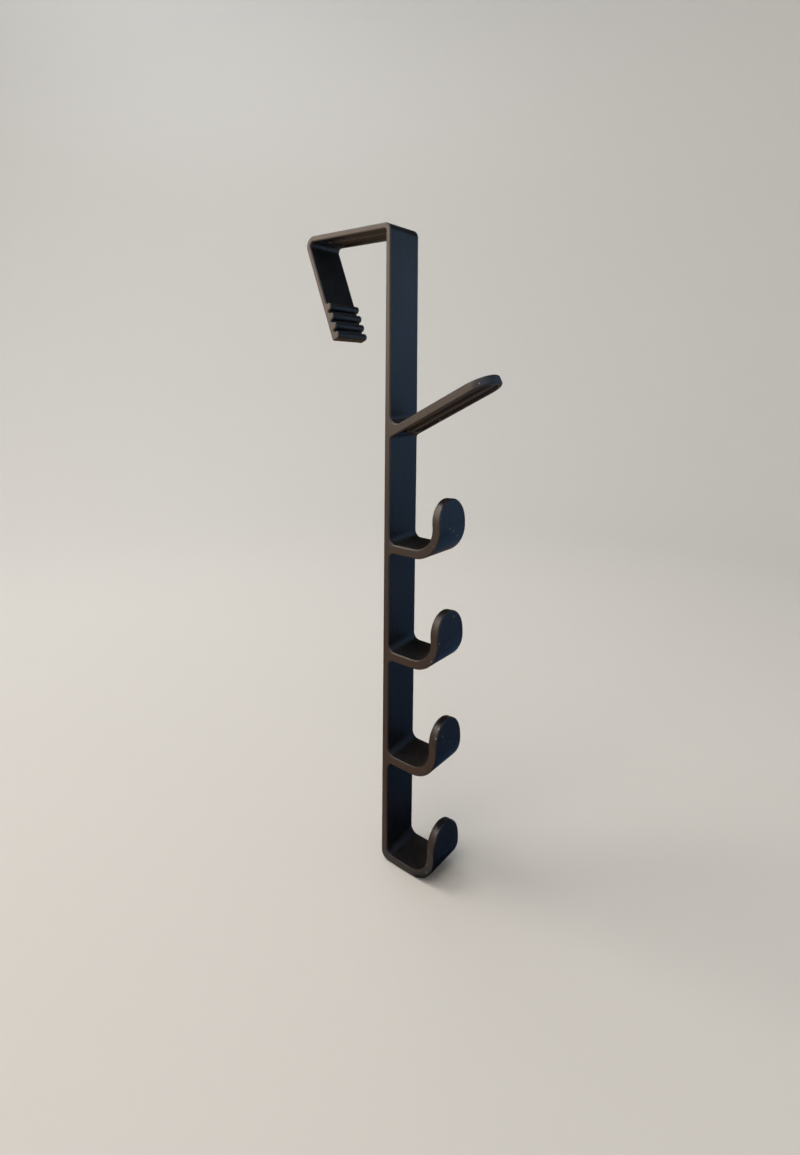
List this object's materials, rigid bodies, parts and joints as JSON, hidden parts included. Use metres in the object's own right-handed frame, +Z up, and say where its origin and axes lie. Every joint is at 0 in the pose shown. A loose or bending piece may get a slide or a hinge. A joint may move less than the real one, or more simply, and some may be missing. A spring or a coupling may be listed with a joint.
{
  "type": "over-door hook",
  "caption": "Moulded plastic over-door hanger: a long band with a ribbed spring clip at the top, a slanted peg and a row of J-shaped hooks for coats and bags.",
  "frame": {"origin": "inside corner of the clip, where the door's face meets its top edge, in the middle of the width", "axes": "+X across the width, +Y into the door, +Z up along the band"},
  "size_m": [0.0234, 0.1209, 0.35],
  "materials": {
    "black_plastic": "satin moulded surface"
  },
  "bodies": {
    "root": {"door_hanger": "black_plastic"}
  },
  "joints": []
}
